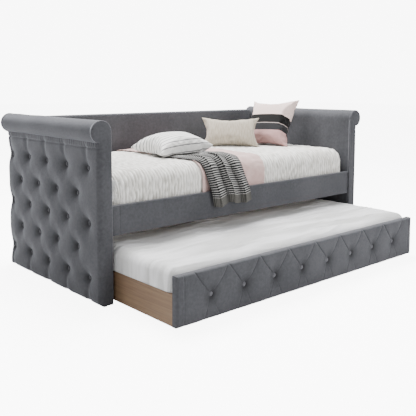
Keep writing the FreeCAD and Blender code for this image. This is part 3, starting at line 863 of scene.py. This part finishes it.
# Each point: how far back and how high the cloth's middle lies, then its left and right edges.
left, right, front = throw_low.x, throw_high.x, cover_low.y
throw_path, throw_lengths = smooth_path([
    (throw_high.y, throw_top - 0.001, left - 0.060, right - 0.060),
    (front + 0.31, throw_top - 0.001, left - 0.060, right + 0.035),
    (front + 0.21, throw_top - 0.001, left - 0.050, right + 0.045),
    (front + 0.09, throw_top, left - 0.035, right - 0.019),
    (front + 0.035, throw_top - 0.004, left - 0.022, right - 0.033),
    (front - 0.005, throw_top - 0.040, left - 0.016, right - 0.038),
    (front - 0.022, throw_top - 0.092, left - 0.010, right - 0.030),
    (rail_front - 0.015, rail_top + 0.012, left, right - 0.014),
    (rail_front - 0.017, rail_top - 0.030, left + 0.010, right),
    (rail_front - 0.013, throw_low.z, left + 0.024, right + 0.011)])
throw_run = throw_lengths[-1]
throw_half = 0.21


def throw_turn(a, b):
    """Where a place lies in the folds: half a turn for each, so its sine is 0 in the valleys."""
    across = a / throw_half
    wander = 0.12 * np.sin(b * 6.0 + 0.6) + 0.05 * np.sin(b * 15.0 + 2 * across)
    return ((across + 1) / 2 * THROW_FOLDS + wander * (1 - across ** 2)) * math.pi


def throw_place(a, b):
    """a runs across the flat cloth, b from its end on the bed down to its hem."""
    across = a / throw_half
    hem_rise = 0.009 * (1 + np.sin(across * 4.6 + 2.0)) * np.clip(b / throw_run, 0, 1) ** 3
    along = np.clip(b - hem_rise, 0, throw_run)
    y, z, x0, x1 = (np.interp(along, throw_lengths, throw_path[:, k]) for k in range(4))
    ahead, behind = np.clip(along + 0.004, 0, throw_run), np.clip(along - 0.004, 0, throw_run)
    ty, tz = (np.interp(ahead, throw_lengths, throw_path[:, k]) - np.interp(behind, throw_lengths, throw_path[:, k])
              for k in (0, 1))
    length = np.hypot(ty, tz) + 1e-9
    turn = throw_turn(a, b)
    hill = abs(np.sin(turn)) ** 0.6
    loose = np.interp(b, [0, throw_high.y - front - 0.22, throw_high.y - front - 0.05], [0.12, 0.3, 1.0])
    fold = THROW_FOLD_HEIGHT * loose * (0.8 + 0.2 * np.sin(across * 3 + b * 4)) * (hill - 0.12)
    fold += 0.0018 * np.sin(turn * 3.1 + b * 11)
    x = x0 + (x1 - x0) * (across + 1) / 2 + 0.020 * loose * np.sin(2 * turn + 0.5)
    return x, y + fold * tz / length, z - fold * ty / length


material, tree, flat, across, along = cloth_start("striped_knit")
stitches = wave(tree, across, 0.0065)
shift = add(tree, "ShaderNodeMath", {"operation": "MULTIPLY_ADD"}, i0=stitches, i1=0.0008, i2=along).outputs[0]
stripe = wave(tree, shift, THROW_STRIPE)
yarn = noise_at(tree, flat, 420.0, 2.0)
dashes = times(tree, ramp(tree, stripe, 0.15, 0.55), ramp(tree, stitches, -0.85, -0.2, 0.35, 1.0))
knit_stripes = mix_colour(tree, dashes, (0.003, 0.003, 0.004), (0.60, 0.59, 0.57))
hem_ribs = wave(tree, across, 0.007)
hem_grey = mix_colour(tree, ramp(tree, hem_ribs, -0.8, 0.8), (0.045, 0.043, 0.039), (0.17, 0.165, 0.15))
in_hem = maths(tree, "GREATER_THAN", along, throw_run - THROW_HEM)
throw_tone = mix_colour(tree, in_hem, knit_stripes, hem_grey)
throw_tone = mix_colour(tree, ramp(tree, yarn, 0.3, 0.7, 0.0, 0.4), throw_tone, (0.5, 0.5, 0.5), "MULTIPLY")
# Painted shade: the knit goes nearly black in the valleys of the folds.
throw_tone = mix_colour(tree, times(tree, read_painted_shade(tree), 0.7), throw_tone, (0.004, 0.004, 0.004))
throw_height = plus(tree, times(tree, maths(tree, "ABSOLUTE", stitches), 0.7),
                     times(tree, stripe, 0.35))
striped_knit = finish_material(material, tree, throw_tone, 0.95, throw_height, 0.6, 0.0012,
                               Sheen_Weight=0.05, Sheen_Roughness=0.5, Specular_IOR_Level=0.2)
laid_sheet("striped_throw", "throw", "throw", striped_knit, (150, 200),
           lambda u, v: (u * throw_half, (v + 1) / 2 * throw_run), throw_place,
           # The folds' valleys, for the painted shade there.
           valleys=lambda a, b: (1 - abs(np.sin(throw_turn(a, b)))) ** 2,
           flat=(2 * throw_half, throw_run), held="gathered", rests_on=["pink_runner", "velvet_rail"])


# ---- cushions ----
# Three stuffed covers, each cut flat, sewn round the edge and filled: a low striped pillow, a
# plain cream lumbar cushion and a square one in colour blocks that leans on the right arm.
CUSHION_GRID, STUFF_PRESSURE, STUFF_FRAMES, STUFF_CAP = 56, 3.0, 20, 0.28
PRESS_REACH, PRESS_FLATTEN, PRESS_GAP = 0.012, 0.335, 0.004


def stuff(obj, cap):
    """Inflates a sewn cover with a cloth simulation, and lets no point move further than cap."""
    scene = bpy.context.scene
    before = [v.co.copy() for v in obj.data.vertices]
    modifier = obj.modifiers.new("stuffing", "CLOTH")
    settings = modifier.settings
    settings.use_pressure, settings.uniform_pressure_force = True, STUFF_PRESSURE
    settings.quality, settings.mass = 6, 0.3
    settings.tension_stiffness = settings.compression_stiffness = 18
    settings.shear_stiffness, settings.bending_stiffness = 8, 0.6
    settings.effector_weights.gravity = 0
    modifier.point_cache.frame_start, modifier.point_cache.frame_end = 1, STUFF_FRAMES
    for frame_number in range(1, STUFF_FRAMES + 1):
        scene.frame_set(frame_number)
    evaluated = obj.evaluated_get(bpy.context.evaluated_depsgraph_get())
    after = [v.co.copy() for v in evaluated.data.vertices]
    obj.modifiers.remove(modifier)
    scene.frame_set(1)
    for vertex, old, new in zip(obj.data.vertices, before, after):
        step = new - old
        if step.length > cap:
            step *= cap / step.length
        vertex.co = old + step


def cushion(name, node, material, length, height, thick, shift, seed, turn, lean, roll=0, tilt=0):
    """A sewn cover that starts flat and slightly full, is stuffed, and is then stood in its place."""
    bm = bmesh.new()
    bmesh.ops.create_grid(bm, x_segments=CUSHION_GRID, y_segments=round(CUSHION_GRID * height / length), size=1)
    made = bmesh.ops.extrude_face_region(bm, geom=bm.faces[:])["geom"]
    bmesh.ops.translate(bm, verts=[g for g in made if isinstance(g, bmesh.types.BMVert)], vec=(0, 0, 1))
    obj = make_piece(name, bm, material, "daybed")

    def start(u, v, w):
        a, b = u * length / 2, v * height / 2
        side = np.where(w > 0.5, 1, -1)
        seam = np.clip((1 - u ** 2) * (1 - v ** 2), 0, 1)
        x = a * (1 - 0.085 * (1 - v ** 2) * abs(u) ** 3)
        y = b * (1 - 0.085 * (1 - u ** 2) * abs(v) ** 3)
        belly = thick * 0.5 * seam ** 0.5 * 0.72
        near_seam = np.exp(-((seam - 0.12) / 0.12) ** 2)
        pucker = 0.0026 * near_seam * waves(a, b, 0.022, seed, 20)
        return x, y, side * (belly + 0.0015) + pucker, a, b

    set_flat(obj, *reshape(obj, start))
    close_up(obj)
    stuff(obj, thick * STUFF_CAP)
    low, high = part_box(node)
    place = (Matrix.Translation((low + high) / 2 + Vector(shift)) @ Matrix.Rotation(math.radians(-turn), 4, "Z")
             @ Matrix.Rotation(math.radians(90 - lean), 4, "X") @ Matrix.Rotation(math.radians(roll), 4, "Z")
             @ Matrix.Rotation(math.radians(tilt), 4, "Y"))
    obj.data.transform(place)
    return obj


def finish_cushion(obj, node, rest, wall_x=math.inf):
    def press(x, y, z):
        above = z - rest(x, y)
        pressed = PRESS_GAP + PRESS_FLATTEN * np.clip(above + PRESS_REACH, 0, 2 * PRESS_REACH)
        return np.minimum(x, wall_x), y, np.where(above < PRESS_REACH, z - above + pressed, z)

    reshape(obj, press)
    levels = obj.modifiers.new("smooth", "SUBSURF")
    levels.levels = levels.render_levels = 1
    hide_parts(node)


def bed_height(x, y):
    return cover_high.z + COVERLET_CROWN * 0.6


def pillow_rest(x, y):
    """The pillow lies on the runner, and its right part on the throw."""
    return cover_high.z + 0.019 + 0.012 * np.clip((x - throw_low.x + 0.06) / 0.05, 0, 1) * (y < throw_high.y)


material, tree, flat, across, along = cloth_start("striped_cotton")
line = maths(tree, "COSINE", times(tree, along, math.tau / 0.034))
slub = noise_at(tree, flat, 220.0, 2.0)
cotton = use_group(tree, weave, Vector=flat, Threads_per_metre=800.0)
pillow_tone = mix_colour(tree, ramp(tree, line, 0.70, 0.88, 0.0, 0.92),
                         (0.80, 0.79, 0.77), (0.10, 0.10, 0.11))
pillow_tone = mix_colour(tree, ramp(tree, slub, 0.3, 0.7, 0.0, 0.12), pillow_tone, (0.45, 0.44, 0.42))
striped_cotton = finish_material(material, tree, pillow_tone, 0.9, cotton.outputs[0], 0.35, 0.0006,
                                 Sheen_Weight=0.2, Sheen_Roughness=0.5)
pillow = cushion("striped_pillow_cover", "striped_pillow", striped_cotton, 0.368, 0.44, 0.130,
                 (-0.012, -0.005, -0.014), 61, turn=10, lean=90, tilt=-5)
finish_cushion(pillow, "striped_pillow", pillow_rest)

material, tree, flat, across, along = cloth_start("cream_linen")
linen = use_group(tree, weave, Vector=flat, Threads_per_metre=560.0)
slub = noise_at(tree, flat, 120.0, 3.0, (1, 0.2, 1))
linen_tone = mix_colour(tree, ramp(tree, slub, 0.35, 0.65), (0.345, 0.30, 0.235), (0.44, 0.39, 0.315))
linen_height = plus(tree, linen.outputs[0], slub)
cream_linen = finish_material(material, tree, linen_tone, 0.9, linen_height, 0.45, 0.0007,
                              Sheen_Weight=0.2, Sheen_Roughness=0.5)
cream = cushion("cream_cushion_cover", "cream_cushion", cream_linen, 0.430, 0.258, 0.115, (-0.018, 0, -0.015), 62,
                turn=44, lean=31)
finish_cushion(cream, "cream_cushion", bed_height)

# Five plain bands of dyed cotton, from pale pink at the top to dusty pink at the bottom.
material, tree, flat, across, along = cloth_start("colour_bands")
bands = (0.47, 0.29, 0.28)
for edge, tone in ((-0.085, (0.020, 0.020, 0.022)), (-0.032, (0.42, 0.36, 0.34)),
                   (-0.027, (0.004, 0.004, 0.004)), (0.040, (0.80, 0.635, 0.59))):
    bands = mix_colour(tree, maths(tree, "GREATER_THAN", along, edge), bands, tone)
cotton = use_group(tree, weave, Vector=flat, Threads_per_metre=800.0)
slub = noise_at(tree, flat, 150.0, 3.0)
bands = mix_colour(tree, ramp(tree, slub, 0.3, 0.7, 0.0, 0.25), bands, (0.5, 0.5, 0.5), "MULTIPLY")
colour_bands = finish_material(material, tree, bands, 0.9, cotton.outputs[0], 0.35, 0.0006,
                               Sheen_Weight=0.04, Sheen_Roughness=0.5, Specular_IOR_Level=0.25)
blocked = cushion("colour_block_cover", "colour_block_cushion", colour_bands, 0.405, 0.415, 0.125,
                  (-0.022, -0.015, -0.018), 63, turn=79, lean=31, roll=3)
finish_cushion(blocked, "colour_block_cushion", bed_height,
               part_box("arm_inner_pad_right")[0].x - 0.002)


# ---- trundle front ----
# A long low panel in the same velvet over thin foam, pulled in by one row of covered buttons.
# Sharp folds fan from each button to the top edge, fainter ones to the lower edge.
FRONT_PIT, FRONT_PIT_RADIUS, FRONT_HOLLOW, FRONT_HOLLOW_RADIUS = 0.007, 0.0155, 0.0090, 0.050
FRONT_FOLD_DEPTH, FRONT_FOLD_WIDTH, FRONT_SOFT_DEPTH, FRONT_SOFT_WIDTH = 0.0046, 0.0034, 0.0022, 0.017
FRONT_LOWER_DEPTH, FRONT_LOWER_WIDTH, FRONT_LOWER_SPREAD = 0.0060, 0.0040, 0.050
FRONT_END_SEAM, FRONT_EDGE, FRONT_CROWN, FRONT_GRID = 0.040, 0.011, 0.004, (860, 104)
FRONT_BUTTONS, FRONT_BUTTON_RADIUS = 8, 0.0115
front_low, front_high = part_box("trundle_front_pad")
knob_low, knob_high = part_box("trundle_front_buttons")
knob_z = (knob_low.z + knob_high.z) / 2
knob_xs = np.linspace(knob_low.x + 0.010, knob_high.x - 0.010, FRONT_BUTTONS)
knob_pitch = knob_xs[1] - knob_xs[0]


def front_pulled(x, z):
    """How far the velvet is pulled in at (x, z)."""
    x = x + 0.003 * waves(x, z, 0.10, 71)
    cubes = np.zeros_like(x)
    for kx in knob_xs:
        distance = np.hypot(x - kx, (z - knob_z) * 0.9)
        cubes += (FRONT_PIT * np.exp(-(distance / FRONT_PIT_RADIUS) ** 2)
                  + FRONT_HOLLOW * np.exp(-(distance / FRONT_HOLLOW_RADIUS) ** 2)) ** 3
        for sway in (-1, 1):
            rise = np.clip((z - knob_z) / (front_high.z - knob_z), 0, 1)
            bow = 0.006 * np.sin(rise * math.pi) * sway
            line_x = kx + sway * (knob_pitch / 2 - 0.006) * rise + bow
            gap = abs(x - line_x) * 0.75
            sharp = FRONT_FOLD_DEPTH * (1 - 0.35 * rise) * np.exp(-(gap / FRONT_FOLD_WIDTH) ** 2)
            soft = FRONT_SOFT_DEPTH * np.exp(-(gap / FRONT_SOFT_WIDTH) ** 2)
            cubes += np.where(z > knob_z, sharp * (0.55 if sway > 0 else 1) + soft, 0) ** 3
            fall = np.clip((knob_z - z) / (knob_z - front_low.z), 0, 1)
            gap = abs(x - kx - sway * FRONT_LOWER_SPREAD * fall)
            faint = FRONT_LOWER_DEPTH * (1 - 0.7 * fall) * np.exp(-(gap / FRONT_LOWER_WIDTH) ** 2)
            cubes += np.where(z < knob_z, faint, 0) ** 3
    return np.cbrt(cubes)


def front_move(u, v, w):
    x = front_low.x + (front_high.x - front_low.x) * (u + 1) / 2
    z = front_low.z + (front_high.z - front_low.z) * (v + 1) / 2
    from_end = np.minimum(x - front_low.x, front_high.x - x)
    border = np.minimum(from_end, np.minimum(z - front_low.z, front_high.z - z))
    seam = 0.0022 * np.exp(-((from_end - FRONT_END_SEAM) / 0.003) ** 2)
    crown = FRONT_CROWN * np.clip(border / 0.06, 0, 1) ** 0.5
    uneven = 0.0008 * waves(x, z, 0.07, 72)
    pulled = front_pulled(x, z)
    face = front_low.y - crown + pulled + seam + uneven + rounding(border, FRONT_EDGE)
    # How deep each point lies, which the velvet turns into painted shade in the hollows and creases.
    painted_shade = np.where(w < -0.5, 0, (pulled - 0.0018) / 0.0085)
    return x, np.where(w < -0.5, front_high.y, face), z, painted_shade


front_pad = make_piece("velvet_trundle_front", unit_slab(*FRONT_GRID), velvet, "trundle")
set_painted_shade(front_pad, *reshape(front_pad, front_move))
close_up(front_pad)
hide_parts("trundle_front_pad")
knob_y = front_low.y + FRONT_PIT + FRONT_HOLLOW - 0.006
# The buttons wear the lighter velvet: painted highlight on their rims.
covered_buttons("covered_buttons_trundle", "trundle_front_buttons", FRONT_BUTTON_RADIUS, (1, BUTTON_DOME, 1),
                [(kx, knob_y, knob_z) for kx in knob_xs], velvet_painted_highlight, "trundle")
